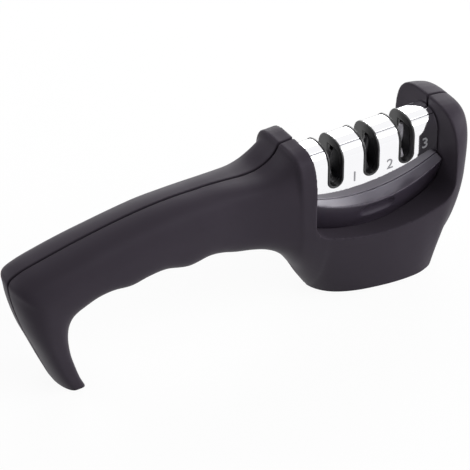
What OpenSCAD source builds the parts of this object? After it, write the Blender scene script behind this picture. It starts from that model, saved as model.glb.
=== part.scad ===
/* [Body] */
// Height of the crest over the table
body_h = 71.8; // [70:0.1:80]
// From the handle's front face back to the outside of the hook
handle_reach = 121; // [100:0.1:150]
// Width of the handle at the palm
handle_w = 27.6; // [25:0.1:34]
// From the inner face of the post forward to the tip of the bow
post_len = 14; // [12.5:0.1:17]
// Widest width of the head
head_w = 44; // [42:0.1:56]
// How far the handle's front face lies behind the middle of the foot
face_setback = 33.8; // [33:0.1:35]
// Wall of the two shell halves
shell_wall = 2.4; // [1.8:0.1:3]
// Gap along the parting line between the halves
parting_gap = 0.3; // [0.1:0.05:0.4]

/* [Mouth] */
// From the handle's front face to the inner face of the post
mouth_len = 61.2; // [60:0.1:62.5]
// Lowest height of the mouth's floor
mouth_floor_h = 29.3; // [28:0.1:30]
// Radius of the long arc of the mouth's floor
mouth_floor_r = 80; // [70:1:120]
// Radius of the mouth's lower corners
mouth_corner_r = 9; // [6:0.5:12]

/* [Foot] */
// Length of the base on the table
foot_len = 53.8; // [50:0.1:56]
// Width of the base on the table
foot_w = 33.4; // [31:0.1:36]
// Lift of the shells' lower rim over the table
rim_lift = 0.4; // [0.2:0.1:0.8]
// Rim of the shells left round the foot
foot_rim = 2.8; // [2.4:0.1:4]
// Thickness of the soft pad under the foot
pad_t = 1.8; // [1.2:0.1:2.4]
// Thickness of the plate that closes the base
plate_t = 2.8; // [2.4:0.1:3.6]
// Gap round the plate and the pad
foot_gap = 0.15; // [0.1:0.05:0.3]

/* [Cartridge] */
// Width of the cartridge at the height where its flare is complete
cart_w = 30; // [29:0.1:31]
// Width of the straight plug that stands in the body
plug_w = 22; // [21:0.1:23]
// Radius of the cartridge's long sides, seen from above
cart_side_r = 95; // [85:1:140]
// Height of the plug's bottom over the table
plug_h = 20; // [19:0.1:22]
// Height at which the sides begin to flare
flare_start_h = 30; // [29:0.1:31]
// Height at which the flare reaches the cartridge's width
flare_full_h = 41.3; // [40:0.1:43]
// Lowest height of the curved top beside the cover
smile_h = 41.8; // [41:0.1:43]
// Radius of the curved top, seen from the side
smile_r = 68; // [60:1:90]
// Fall of the top from the cover out to the edge, in degrees
smile_fall = 9.5; // [4:0.5:14]
// Wall of the cartridge housing
housing_wall = 1.8; // [1.4:0.1:2.2]
// Height of the ledge inside that carries the frame and the cover
ledge_h = 38.5; // [37.5:0.1:39]
// Free gap round the cartridge in the body
slide_gap = 0.35; // [0.25:0.05:0.5]
// Thickness of the plate under the cartridge
cart_plate_t = 2.6; // [2.4:0.1:3]
// Height of the thumb dimples over the table
dimple_h = 36.3; // [35.5:0.1:37]
// Length of a thumb dimple
dimple_len = 17; // [12:0.5:22]
// Height of a thumb dimple
dimple_w = 7; // [5:0.5:8]
// Radius of the round cut that makes a dimple
dimple_r = 5.4; // [5:0.1:8]

/* [Chrome cover] */
// Height of the cover's top over the table
cover_h = 65.7; // [64.6:0.1:67]
// Width of the cover at its shoulders
cover_w = 16.5; // [16:0.1:17]
// Width of the cover at its lower edge
cover_foot_w = 16.8; // [16.4:0.1:17.4]
// Wall of the cover
cover_wall = 1.1; // [0.8:0.1:1.4]
// Radius of the shoulders
shoulder_r = 7; // [6:0.1:7.6]
// Width of the crown between the two creases
crease_w = 9.8; // [8:0.1:11]
// Rise of the crown over the creases
crown_rise = 1; // [0.6:0.1:1.6]

/* [Slots] */
// From one slot to the next
slot_pitch = 16.2; // [15:0.1:17]
// How far the middle slot lies behind the middle of the mouth
slot_back = 0.3; // [0:0.1:0.6]
// Width of the opening in the cover
slot_w = 7.2; // [7:0.1:7.6]
// Width left free for the blade of a knife
slot_clear = 5.4; // [5:0.1:5.6]
// Height of the opening's round bottom
slot_bottom_h = 48.4; // [47:0.1:49.5]
// How far the slot's collar stands proud of the chrome
collar_proud = 0.35; // [0.2:0.05:0.5]
// Gap between pieces that are assembled and stay still
fit_gap = 0.05; // [0.03:0.01:0.08]

/* [Sharpening stages] */
// Diameter of the ceramic and diamond rods
rod_d = 3; // [2.6:0.1:3.1]
// Length of a rod or a blade
rod_len = 18; // [16:0.1:19]
// Lean of a rod or blade from upright, in degrees
rod_lean = 18; // [15:0.5:19]
// Height at which a pair crosses
cross_h = 49.6; // [49:0.1:50]
// How much of a rod lies over the crossing
over_cross = 11.6; // [11:0.1:11.8]
// How far a pair stands from the cover's middle towards the near side
pair_shift = 2; // [1.6:0.1:2.2]
// Thickness of a carbide blade
blade_t = 2.2; // [1.6:0.1:2.6]
// Width of a carbide blade
blade_w = 3; // [2.6:0.1:3.4]
// Gap between the two pieces of a crossing pair
cross_gap = 0.5; // [0.4:0.05:0.8]
// Width of the block that holds a pair, across the slot
holder_w = 12.4; // [12:0.1:12.8]
// Depth of the block along the slot
holder_d = 8; // [7.8:0.1:8.2]
// Height of the block's top over the table
holder_h = 62.2; // [61.9:0.1:62.4]
// Wall of the frame over and beside the blocks
frame_wall = 0.8; // [0.6:0.05:0.9]
// Thickness of the frame's flange
flange_t = 1.6; // [1.2:0.1:2]

/* [Screws] */
// Diameter of a screw's shank
screw_d = 2.6; // [2:0.1:3]
// Diameter of a screw's head
head_d = 5; // [4.4:0.1:5.4]
// Height of a screw's head
head_t = 1.6; // [1.2:0.1:1.8]
// Diameter of a screw boss
boss_d = 6.4; // [6:0.1:7]
// Length of a shell screw's shank
shell_screw_len = 12; // [9:0.5:13]
// Length of a base screw's shank
base_screw_len = 8; // [6:0.5:9]
// Length of a cartridge screw's shank
cart_screw_len = 9; // [7:0.5:11]
// Distance from the parting line to the seats of the shell screws
seat_depth = 5; // [4:0.1:6]
// Places of the base screws ahead of and behind the middle of the foot
base_screw_x = 14; // [13:0.1:15]
// Places of the base screws beside the middle of the foot
base_screw_y = 6; // [5.5:0.1:6.5]
// Distance of the cartridge screws from the cartridge's ends
cart_screw_in = 8; // [7.6:0.1:8.4]

/* [Hidden] */
$fn = 64;

soft_black = [0.23, 0.22, 0.25];
rubber_black = [0.12, 0.12, 0.13];
gloss_black = [0.14, 0.13, 0.16];
chrome = [0.85, 0.86, 0.88];
steel = [0.7, 0.7, 0.72];
carbide_grey = [0.6, 0.61, 0.63];
diamond_grey = [0.35, 0.35, 0.37];
ceramic_white = [0.93, 0.92, 0.95];

// Length that a cut runs past the face it opens
over = 1;
// A size larger than the whole object, for half spaces
head_len = mouth_len + post_len;
far_away = handle_reach + head_len;

face_x = -face_setback;
mouth_mid = face_x + mouth_len / 2;
cart_len = mouth_len - 2 * slide_gap;
cart_screw_x = cart_len / 2 - cart_screw_in;
pocket_len = mouth_len - 2 * fit_gap;
slot_mids = [for (i = [-1 : 1]) mouth_mid - slot_back + i * slot_pitch];
beam_h_share = 0.606;

// Stations of the handle, from the hook's tip forward. Each has the outer rail and the inner rail
// as [distance behind the front face, height], then the half width.
// The shares follow handle_reach, body_h and half of handle_w.
handle_shares = [
    [[0.856, -0.050], [0.785, -0.050], 0.76],
    [[0.880, 0.025], [0.804, 0.020], 0.78],
    [[0.892, 0.074], [0.815, 0.067], 0.79],
    [[0.913, 0.166], [0.828, 0.145], 0.81],
    [[0.935, 0.267], [0.840, 0.233], 0.84],
    [[0.967, 0.409], [0.844, 0.327], 0.90],
    [[0.990, 0.548], [0.838, 0.398], 0.95],
    [[1.002, 0.655], [0.822, 0.446], 0.97],
    [[0.999, 0.716], [0.801, 0.474], 0.98],
    [[0.959, 0.755], [0.770, 0.501], 1.00],
    [[0.889, 0.784], [0.729, 0.527], 1.00],
    [[0.794, 0.818], [0.683, 0.533], 1.00],
    [[0.693, 0.849], [0.626, 0.518], 1.00],
    [[0.597, 0.873], [0.568, 0.535], 0.99],
    [[0.515, 0.887], [0.507, 0.538], 0.98],
    [[0.433, 0.893], [0.427, 0.502], 0.97],
    [[0.359, 0.891], [0.354, 0.516], 0.94],
    [[0.297, 0.889], [0.305, 0.503], 0.92],
    [[0.239, 0.881], [0.250, 0.470], 0.92],
    [[0.188, 0.874], [0.194, 0.446], 0.96],
    [[0.143, 0.878], [0.147, 0.418], 1.02],
    [[0.104, 0.902], [0.105, 0.376], 1.09],
    [[0.077, 0.934], [0.071, 0.325], 1.15],
    [[0.062, 0.968], [0.050, 0.284], 1.19],
    [[0.054, 0.993], [0.036, 0.253], 1.22]];

// Stations of the head, from behind the mouth to the tip of the bow. Each has the upper rail and
// the keel rail as [distance ahead of the front face, height], then the half width.
// The shares follow head_len, body_h and half of head_w. The keel runs on below the table,
// so that the table cuts the base's outline.
head_shares = [
    [[-0.055, 0.996], [-0.012, 0.181], 0.782],
    [[0.004, 1], [0.029, 0.100], 0.810],
    [[0.053, 1], [0.067, 0.036], 0.832],
    [[0.105, 1], [0.101, -0.025], 0.855],
    [[0.198, 0.999], [0.198, -0.223], 0.891],
    [[0.339, 0.996], [0.339, -0.500], 0.941],
    [[0.499, 0.990], [0.499, -0.720], 0.980],
    [[0.620, 0.985], [0.620, -0.720], 0.997],
    [[0.713, 0.980], [0.713, -0.470], 1.000],
    [[0.783, 0.976], [0.760, -0.190], 0.995],
    [[0.834, 0.973], [0.790, -0.015], 0.970],
    [[0.880, 0.967], [0.830, 0.075], 0.912],
    [[0.920, 0.956], [0.868, 0.170], 0.815],
    [[0.953, 0.926], [0.903, 0.280], 0.660],
    [[0.977, 0.873], [0.935, 0.400], 0.500],
    [[0.992, 0.806], [0.964, 0.522], 0.330],
    [[0.999, 0.745], [0.989, 0.625], 0.160],
    [[1, 0.718], [0.999, 0.675], 0.060]];

// Squareness of the section over and under its widest line, by station of the handle and the head
handle_squareness = [[1.8, 8], [1.8, 7.5], [2, 7], [2.3, 6], [2.5, 5], [2.5, 4], [2.4, 3.4], [2.3, 3.2],
    [2.8, 3.2], [2.6, 3.2], [2.6, 3.2], [2.6, 3.2], [2.6, 3.2], [2.6, 3.2], [2.7, 3.2], [2.8, 3.2],
    [3, 3.2], [3.2, 3.2], [3.8, 3.05], [4.3, 2.9], [5, 2.75], [4.9, 2.6], [4.3, 2.45], [3.7, 2.35],
    [4.8, 2.3]];
head_squareness = [[4.6, 2.1], [4.2, 1.9], [4, 1.8], [4, 1.7], [4, 1.65], [4, 1.6], [3.8, 1.6],
    [3.6, 1.6], [3.5, 1.6], [3.4, 1.7], [3.4, 1.8], [3.5, 1.9], [3.6, 1.9], [3.4, 1.9], [2.8, 2], [2.4, 2],
    [2.1, 2], [2, 2]];

// A station in millimetres: upper x and z, lower x and z, half width, widest line, two exponents
function widest_share(low, high, wide_h) = min(max((wide_h - low) / (high - low), 0.4), 0.8);
handle_stations = [for (i = [0 : len(handle_shares) - 1]) let (s = handle_shares[i])
    [face_x - s[0][0] * handle_reach, s[0][1] * body_h,
     face_x - s[1][0] * handle_reach, s[1][1] * body_h,
     s[2] * handle_w / 2, 0.5, handle_squareness[i][0], handle_squareness[i][1]]];
head_stations = [for (i = [0 : len(head_shares) - 1]) let (s = head_shares[i])
    [face_x + s[0][0] * head_len, s[0][1] * body_h,
     face_x + s[1][0] * head_len, s[1][1] * body_h,
     s[2] * head_w / 2, widest_share(s[1][1], s[0][1], beam_h_share),
     head_squareness[i][0], head_squareness[i][1]]];
stations = concat(handle_stations, head_stations);

// A smooth curve through the stations
function catmull(a, b, c, d, t) = (2 * b + (c - a) * t + (2 * a - 5 * b + 4 * c - d) * t * t
    + (3 * b - a - 3 * c + d) * t * t * t) / 2;
function between(list, i, t) = catmull(list[max(i - 1, 0)], list[i], list[i + 1],
    list[min(i + 2, len(list) - 1)], t);
function refined(list, steps) = concat([for (i = [0 : len(list) - 2]) for (j = [0 : steps - 1])
    between(list, i, j / steps)], [list[len(list) - 1]]);
body_rings = refined(stations, 2);

// One section: a point at angle a, from -90 at the lower rail to 90 at the upper rail
function section_point(s, a) = let (
    n = a > 0 ? s[6] : s[7],
    rise = pow(abs(sin(a)), 2 / n),
    up = a > 0 ? s[5] + (1 - s[5]) * rise : s[5] * (1 - rise))
    [s[2] + (s[0] - s[2]) * up, s[4] * pow(abs(cos(a)), 2 / n), s[3] + (s[1] - s[3]) * up];
section_steps = 10;
function half_section(s) = [for (k = [0 : section_steps])
    section_point(s, -90 + 180 * k / section_steps)];
function full_section(s) = concat(half_section(s), [for (k = [1 : section_steps - 1])
    let (p = section_point(s, 90 - 180 * k / section_steps)) [p[0], -p[1], p[2]]]);

// A closed skin over a row of sections
module loft(rings) {
    n = len(rings[0]);
    last = len(rings) - 1;
    sides = [for (i = [0 : last - 1]) for (k = [0 : n - 1]) let (k2 = (k + 1) % n)
        each [[i * n + k, (i + 1) * n + k2, i * n + k2], [i * n + k, (i + 1) * n + k, (i + 1) * n + k2]]];
    first_cap = [for (k = [0 : n - 1]) k];
    last_cap = [for (k = [n - 1 : -1 : 0]) last * n + k];
    polyhedron([for (r = rings) each r], concat(sides, [first_cap, last_cap]), convexity = 10);
}

// Stations of the hollow inside: both rails and the sides move in by the wall
hollow_first = 6;
hollow_last = 78;
function crossing(list, i, rail, along) = let (
    d = [list[i + 1][rail] - list[i - 1][rail], list[i + 1][rail + 1] - list[i - 1][rail + 1]])
    max(0.5, abs(d[0] * along[1] - d[1] * along[0]) / norm(d));
function inset_station(list, i, wall) = let (
    s = list[i],
    along = [s[0] - s[2], s[1] - s[3]] / norm([s[0] - s[2], s[1] - s[3]]),
    high = wall / crossing(list, i, 0, along),
    low = wall / crossing(list, i, 2, along))
    [s[0] - along[0] * high, s[1] - along[1] * high, s[2] + along[0] * low, s[3] + along[1] * low,
     s[4] - wall, s[5], s[6], s[7]];
hollow_rings = [for (i = [hollow_first : hollow_last]) inset_station(body_rings, i, shell_wall)];

module body_half() {
    loft([for (s = body_rings) half_section(s)]);
}

module body_hollow() {
    loft([for (s = hollow_rings) full_section(s)]);
}

// The mouth between handle and post, seen from the side and grown by a wall where it is one
function arc(x, y, r, from, to, steps) = [for (i = [0 : steps])
    let (a = from + (to - from) * i / steps) [x + r * cos(a), y + r * sin(a)]];
module mouth(grow) {
    corner_x = mouth_len / 2 - mouth_corner_r;
    corner_z = mouth_floor_h + mouth_floor_r
        - sqrt(pow(mouth_floor_r - mouth_corner_r, 2) - pow(corner_x, 2));
    turn = atan2(mouth_floor_h + mouth_floor_r - corner_z, corner_x);
    high = body_h + 2 * over;
    outline = concat(
        [[-mouth_len / 2 - grow, high]],
        arc(-corner_x, corner_z, mouth_corner_r + grow, 180, 180 + turn, 6),
        arc(0, mouth_floor_h + mouth_floor_r, mouth_floor_r + grow, 181 + turn, 359 - turn, 12),
        arc(corner_x, corner_z, mouth_corner_r + grow, 360 - turn, 360, 6),
        [[mouth_len / 2 + grow, high]]);
    translate([mouth_mid, head_w, 0]) rotate([90, 0, 0])
        linear_extrude(2 * head_w) polygon(outline);
}

// The cartridge's outer form: a straight plug with bowed sides that flares above the body's deck
side_centre = cart_side_r - cart_w / 2;
flare_slope = (cart_w - plug_w) / 2 / (flare_full_h - flare_start_h);
function cart_half_w(z) = plug_w / 2 + flare_slope * max(0, z - flare_start_h);
module both_sides() {
    children();
    mirror([0, 1, 0]) children();
}
module bowed(low, high, low_half, high_half, half_len) {
    intersection() {
        for_side(1, low, high, low_half, high_half);
        for_side(-1, low, high, low_half, high_half);
        translate([mouth_mid - half_len, -head_w / 2, low])
            cube([2 * half_len, head_w, high - low]);
    }
}
module for_side(side, low, high, low_half, high_half) {
    translate([mouth_mid, side * side_centre, low])
        cylinder(h = high - low, r1 = side_centre + low_half, r2 = side_centre + high_half, $fn = 240);
}
cart_top = smile_h + mouth_len / 4;
module cart_form(grow, half_len) {
    bowed(plug_h - grow, flare_start_h, plug_w / 2 + grow, plug_w / 2 + grow, half_len);
    bowed(flare_start_h, cart_top, plug_w / 2 + grow, cart_half_w(cart_top) + grow, half_len);
}

// The foot's outline: round at the stern, fuller at the bow
foot_widest_share = 0.575;
foot_bow_squareness = 2.5;
function foot_outline(inset) = let (
    stern = foot_len * foot_widest_share - inset,
    bow = foot_len * (1 - foot_widest_share) - inset,
    mid = foot_len * (foot_widest_share - 0.5))
    [for (a = [0 : 7.5 : 352.5]) let (
        n = cos(a) > 0 ? foot_bow_squareness : 2,
        reach = cos(a) > 0 ? bow : -stern)
        [mid + reach * pow(abs(cos(a)), 2 / n),
         (foot_w / 2 - inset) * sign(sin(a)) * pow(abs(sin(a)), 2 / n)]];
plate_top = pad_t + plate_t;

// Screw places: for the shells along the body in the side view, for the base in the plan
shell_boss_shares = [[0.74, 0.66], [0.30, 0.71]];
boss_clear = shell_wall + boss_d / 2;
boss_h_share = 0.62;
shell_bosses = concat(
    [for (s = shell_boss_shares) [face_x - s[0] * handle_reach, s[1] * body_h]],
    [[face_x - boss_clear - fit_gap, boss_h_share * body_h],
     [face_x + mouth_len + boss_clear, boss_h_share * body_h]]);
base_bosses = [for (x = [-1, 1]) for (y = [-1, 1]) [x * base_screw_x, y * base_screw_y]];
bore_d = screw_d + 2 * fit_gap;

module across(x, z, d, from, to, sides = 64) {
    translate([x, to, z]) rotate([90, 0, 0]) cylinder(h = to - from, d = d, $fn = sides);
}

module hollow() {
    difference() {
        body_hollow();
        mouth(shell_wall);
        cart_form(slide_gap + shell_wall, pocket_len / 2 + shell_wall);
        for (b = shell_bosses) across(b[0], b[1], boss_d, -head_w, head_w, 24);
        for (b = base_bosses) translate([b[0], b[1], 0]) cylinder(h = plug_h, d = boss_d, $fn = 24);
    }
}

module under_table() {
    translate([-far_away, -head_w, -far_away]) cube([2 * far_away, 2 * head_w, far_away]);
    translate([-foot_len, -head_w, -over]) cube([2 * foot_len, 2 * head_w, over + rim_lift]);
}

// One shell with its outer skin towards +y, still without its screw holes.
// A resize to its own size keeps the free-form skin and its hollow as one mesh.
module shell() {
    resize([0, 0, 0]) difference() {
        translate([0, parting_gap / 2, 0]) body_half();
        under_table();
        mouth(0);
        cart_form(slide_gap, pocket_len / 2);
        hollow();
        translate([0, 0, -over]) linear_extrude(plate_top + over) polygon(foot_outline(foot_rim));
    }
}

module base_bores() {
    for (b = base_bosses) if (b[1] > 0) translate([b[0], b[1], plate_top - over])
        cylinder(h = base_screw_len, d = bore_d);
}

module near_shell() {
    color(soft_black) mirror([0, 1, 0]) difference() {
        shell();
        base_bores();
        for (b = shell_bosses) across(b[0], b[1], bore_d, 0, shell_screw_len - seat_depth + over);
    }
}

module far_shell() {
    color(soft_black) difference() {
        shell();
        base_bores();
        for (b = shell_bosses) {
            across(b[0], b[1], bore_d, 0, seat_depth + over);
            across(b[0], b[1], head_d + 2 * fit_gap, seat_depth, head_w);
        }
    }
}

module base_plate() {
    color(soft_black) difference() {
        translate([0, 0, pad_t]) linear_extrude(plate_t) polygon(foot_outline(foot_rim + foot_gap));
        for (b = base_bosses) translate([b[0], b[1], 0]) {
            cylinder(h = plate_top + over, d = bore_d);
            cylinder(h = pad_t + head_t, d = head_d + 2 * fit_gap);
        }
    }
}

module foot_pad() {
    color(rubber_black) linear_extrude(pad_t) polygon(foot_outline(foot_rim + foot_gap));
}

// A pan-head screw that points up, with its seat at height 0 and a cross recess under its head
recess_w_share = 0.16;
recess_len_share = 0.6;
recess_depth_share = 0.55;
module screw(length) {
    difference() {
        union() {
            cylinder(h = length, d = screw_d);
            translate([0, 0, -head_t]) cylinder(h = head_t, d = head_d);
        }
        for (a = [0, 90]) rotate([0, 0, a])
            translate([-head_d * recess_len_share / 2, -head_d * recess_w_share / 2, -head_t - over])
            cube([head_d * recess_len_share, head_d * recess_w_share, over + head_t * recess_depth_share]);
    }
}

module base_screws() {
    color(steel) for (b = base_bosses)
        translate([b[0], b[1], pad_t + head_t]) screw(base_screw_len);
}

module shell_screws() {
    color(steel) for (b = shell_bosses)
        translate([b[0], seat_depth, b[1]]) rotate([90, 0, 0]) screw(shell_screw_len);
}

// The curved top of the cartridge beside the cover, one tilted round cut for each side
module smile_cut() {
    both_sides() translate([mouth_mid, -cover_foot_w / 2, smile_h]) rotate([smile_fall, 0, 0])
        translate([0, head_w / 2, smile_r]) rotate([90, 0, 0])
        cylinder(h = head_w, r = smile_r, $fn = 240);
}

module dimple_cut() {
    reach = sqrt(pow(dimple_r, 2) - pow(dimple_w / 2, 2));
    lean = atan(flare_slope);
    half = dimple_len / 2 - dimple_w / 2;
    translate([mouth_mid, -cart_half_w(dimple_h) - reach * cos(lean), dimple_h - reach * sin(lean)]) {
        rotate([0, 90, 0]) cylinder(h = 2 * half, r = dimple_r, center = true);
        for (side = [-1, 1]) translate([side * half, 0, 0]) sphere(r = dimple_r);
    }
}

module cartridge_housing() {
    hole_half = cover_foot_w / 2 + fit_gap;
    inner_half = plug_w / 2 - housing_wall;
    color(gloss_black) difference() {
        cart_form(0, cart_len / 2);
        smile_cut();
        both_sides() dimple_cut();
        translate([mouth_mid - mouth_len / 2, -hole_half, ledge_h])
            cube([mouth_len, 2 * hole_half, cart_top + over - ledge_h]);
        difference() {
            bowed(plug_h - over, ledge_h + over, inner_half, inner_half, cart_len / 2 - housing_wall);
            for (side = [-1, 1]) translate([mouth_mid + side * cart_screw_x, 0, plug_h + cart_plate_t]) {
                cylinder(h = ledge_h - plug_h, d = boss_d);
                translate([-housing_wall / 2, -head_w / 2, 0]) cube([housing_wall, head_w, ledge_h - plug_h]);
            }
        }
        for (side = [-1, 1]) translate([mouth_mid + side * cart_screw_x, 0, plug_h])
            cylinder(h = head_t + cart_screw_len + over, d = bore_d);
    }
}

module cartridge_base() {
    half = plug_w / 2 - housing_wall - fit_gap;
    color(gloss_black) difference() {
        bowed(plug_h, plug_h + cart_plate_t, half, half, cart_len / 2 - housing_wall - fit_gap);
        for (side = [-1, 1]) translate([mouth_mid + side * cart_screw_x, 0, plug_h - over]) {
            cylinder(h = cart_plate_t + 2 * over, d = bore_d);
            cylinder(h = head_t + over, d = head_d + 2 * fit_gap);
        }
    }
}

module cartridge_screws() {
    color(steel) for (side = [-1, 1])
        translate([mouth_mid + side * cart_screw_x, 0, plug_h + head_t]) screw(cart_screw_len);
}

// The cover's outline seen from the end, grown or shrunk: drafted sides, round shoulders, a crown
crease_h = cover_h - crown_rise;
shoulder_y = cover_w / 2 - shoulder_r;
shoulder_h = crease_h - sqrt(pow(shoulder_r, 2) - pow(crease_w / 2 - shoulder_y, 2));
crown_r = (pow(crease_w / 2, 2) + pow(crown_rise, 2)) / (2 * crown_rise);
module cover_outline(grow) {
    polygon([[-cover_foot_w / 2 - grow, ledge_h], [cover_foot_w / 2 + grow, ledge_h],
        [cover_w / 2 + grow, shoulder_h], [-cover_w / 2 - grow, shoulder_h]]);
    intersection() {
        translate([0, cover_h - crown_r]) circle(r = crown_r + grow);
        union() {
            for (side = [-1, 1]) translate([side * shoulder_y, shoulder_h]) circle(r = shoulder_r + grow);
            translate([-shoulder_y, shoulder_h])
                square([2 * shoulder_y, shoulder_r + grow]);
        }
    }
}
module cover_bar(grow, length) {
    translate([mouth_mid - length / 2, 0, 0]) rotate([90, 0, 90])
        linear_extrude(length) cover_outline(grow);
}

// A slot seen from the side: straight flanks and a round bottom, cut right through
module slot(x, width, bottom) {
    across(x, bottom + width / 2, width, -head_w / 2, head_w / 2);
    translate([x - width / 2, -head_w / 2, bottom + width / 2])
        cube([width, head_w, cover_h + collar_proud + over - bottom - width / 2]);
}

module chrome_cover() {
    color(chrome) difference() {
        cover_bar(0, cart_len);
        translate([0, 0, -over]) cover_bar(-cover_wall, cart_len - 2 * cover_wall);
        cover_bar(-cover_wall, cart_len - 2 * cover_wall);
        for (x = slot_mids) slot(x, slot_w, slot_bottom_h);
    }
}

channel_w = slot_w - 2 * fit_gap;
channel_bottom = slot_bottom_h + (slot_w - slot_clear) / 2;
flange_top = ledge_h + flange_t;
module slot_frame() {
    inner = -cover_wall - fit_gap;
    color(gloss_black) difference() {
        union() {
            intersection() {
                cover_bar(inner, cart_len - 2 * cover_wall - 2 * fit_gap);
                union() {
                    translate([mouth_mid - mouth_len / 2, -head_w / 2, ledge_h])
                        cube([mouth_len, head_w, flange_t]);
                    for (x = slot_mids) translate([x - channel_w / 2, -head_w / 2, ledge_h])
                        cube([channel_w, head_w, cover_h - ledge_h]);
                }
            }
            intersection() {
                cover_bar(collar_proud, cart_len);
                for (x = slot_mids) slot(x, channel_w, slot_bottom_h + fit_gap);
            }
        }
        for (x = slot_mids) {
            slot(x, slot_clear, channel_bottom);
            block(x, fit_gap);
        }
    }
}

// The block of a stage: upright sides, and a top that follows the cover
module block(x, grow) {
    intersection() {
        cover_bar(grow - cover_wall - 2 * fit_gap - frame_wall, cart_len);
        translate([x - holder_w / 2 - grow, -pair_shift - holder_d / 2 - grow, flange_top])
            cube([holder_w + 2 * grow, holder_d + 2 * grow, holder_h + grow - flange_top]);
    }
}

// The two crossing pieces of a stage: side -1 leans left at its top, 1 leans right
module leaning(i, side, thick) {
    translate([slot_mids[i], side * (thick + cross_gap) / 2 - pair_shift, cross_h])
        rotate([0, side * rod_lean, 0]) translate([0, 0, over_cross - rod_len]) children();
}
module rod(i, side, grow) {
    leaning(i, side, rod_d) translate([0, 0, -grow])
        cylinder(h = rod_len + (grow > 0 ? over + holder_d : 0), r = rod_d / 2 + grow);
}
module blade(i, side, grow) {
    leaning(i, side, blade_t) translate([-blade_w / 2 - grow, -blade_t / 2 - grow, -grow])
        cube([blade_w + 2 * grow, blade_t + 2 * grow, rod_len + (grow > 0 ? over + holder_d : 0)]);
}

module holder(i) {
    color(gloss_black) difference() {
        block(slot_mids[i], 0);
        slot(slot_mids[i], slot_clear, channel_bottom);
        children();
    }
}
module coarse_holder() {
    holder(0) for (side = [-1, 1]) blade(0, side, fit_gap);
}
module medium_holder() {
    holder(1) for (side = [-1, 1]) rod(1, side, fit_gap);
}
module fine_holder() {
    holder(2) for (side = [-1, 1]) rod(2, side, fit_gap);
}
module carbide_blade_left() {
    color(carbide_grey) blade(0, -1, 0);
}
module carbide_blade_right() {
    color(carbide_grey) blade(0, 1, 0);
}
module diamond_rod_left() {
    color(diamond_grey) rod(1, -1, 0);
}
module diamond_rod_right() {
    color(diamond_grey) rod(1, 1, 0);
}
module ceramic_rod_left() {
    color(ceramic_white) rod(2, -1, 0);
}
module ceramic_rod_right() {
    color(ceramic_white) rod(2, 1, 0);
}

near_shell();
far_shell();
base_plate();
foot_pad();
base_screws();
shell_screws();
cartridge_housing();
cartridge_base();
cartridge_screws();
slot_frame();
chrome_cover();
coarse_holder();
carbide_blade_left();
carbide_blade_right();
medium_holder();
diamond_rod_left();
diamond_rod_right();
fine_holder();
ceramic_rod_left();
ceramic_rod_right();
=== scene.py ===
import bpy
import bmesh
import math
from mathutils import Matrix, Vector


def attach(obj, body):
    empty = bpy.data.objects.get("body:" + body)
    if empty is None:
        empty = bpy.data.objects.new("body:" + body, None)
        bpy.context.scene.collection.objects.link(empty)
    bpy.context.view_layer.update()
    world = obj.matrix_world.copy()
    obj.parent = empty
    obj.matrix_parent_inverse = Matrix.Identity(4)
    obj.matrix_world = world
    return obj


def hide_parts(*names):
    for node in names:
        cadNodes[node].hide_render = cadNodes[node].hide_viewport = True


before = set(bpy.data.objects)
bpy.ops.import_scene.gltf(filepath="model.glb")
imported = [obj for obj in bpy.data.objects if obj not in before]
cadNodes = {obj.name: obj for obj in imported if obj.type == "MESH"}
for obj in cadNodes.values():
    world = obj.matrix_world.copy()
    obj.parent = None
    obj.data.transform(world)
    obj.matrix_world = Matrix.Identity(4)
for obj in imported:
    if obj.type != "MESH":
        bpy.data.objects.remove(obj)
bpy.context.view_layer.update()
mm = 0.001
print("frame loaded:", len(cadNodes), "nodes")


# ---- small helpers for working in edit mode ----

def pickOnly(piece):
    bpy.ops.object.select_all(action="DESELECT")
    bpy.context.view_layer.objects.active = piece
    piece.select_set(True)


def openEdit(piece, kind="FACE"):
    pickOnly(piece)
    bpy.ops.object.mode_set(mode="EDIT")
    bpy.ops.mesh.select_mode(type=kind)
    bpy.ops.mesh.select_all(action="DESELECT")


def closeEdit():
    bpy.ops.object.mode_set(mode="OBJECT")


def loftTube(name, rings):
    # a cylinder is cut into one ring per section, and each ring is set to its outline
    count, mostCuts, flat = len(rings[0]), 100, 0.0001
    bpy.ops.object.select_all(action="DESELECT")
    bpy.ops.mesh.primitive_cylinder_add(vertices=count, radius=1, depth=1,
                                        end_fill_type="NGON")
    tube = bpy.context.object
    tube.name = name
    openEdit(tube, "EDGE")
    spans = len(rings) - 1
    first = next(k for k in range(min(spans, mostCuts), 0, -1) if spans % k == 0)
    for cuts in (first - 1, spans // first - 1):  # so many cuts need two calls
        if cuts:
            shape = bmesh.from_edit_mesh(tube.data)
            for edge in shape.edges:
                a, b = edge.verts
                edge.select_set(abs(a.co.z - b.co.z) > flat)
            bmesh.update_edit_mesh(tube.data)
            bpy.ops.mesh.subdivide(number_cuts=cuts)
    shape = bmesh.from_edit_mesh(tube.data)
    for vert in shape.verts:
        ring = rings[round((vert.co.z + 0.5) * (len(rings) - 1))]
        turn = round(math.atan2(vert.co.x, vert.co.y) / (2 * math.pi) * count) % count
        vert.co = Vector(ring[turn]) * mm
    shape.normal_update()
    bmesh.update_edit_mesh(tube.data)
    bpy.ops.mesh.select_all(action="SELECT")
    bpy.ops.mesh.normals_make_consistent(inside=False)
    closeEdit()
    return tube


def prism(name, outline, axis, low, high):
    # an outline in the plane across the axis, drawn out from low to high
    place = {"x": lambda p, h: (h, p[0], p[1]),
             "y": lambda p, h: (p[0], h, p[1]),
             "z": lambda p, h: (p[0], p[1], h)}[axis]
    return loftTube(name, [[place(p, h) for p in outline] for h in (low, high)])


def box(name, low, high):
    outline = [(low[0], low[1]), (high[0], low[1]), (high[0], high[1]), (low[0], high[1])]
    return prism(name, outline, "z", low[2], high[2])


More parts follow.
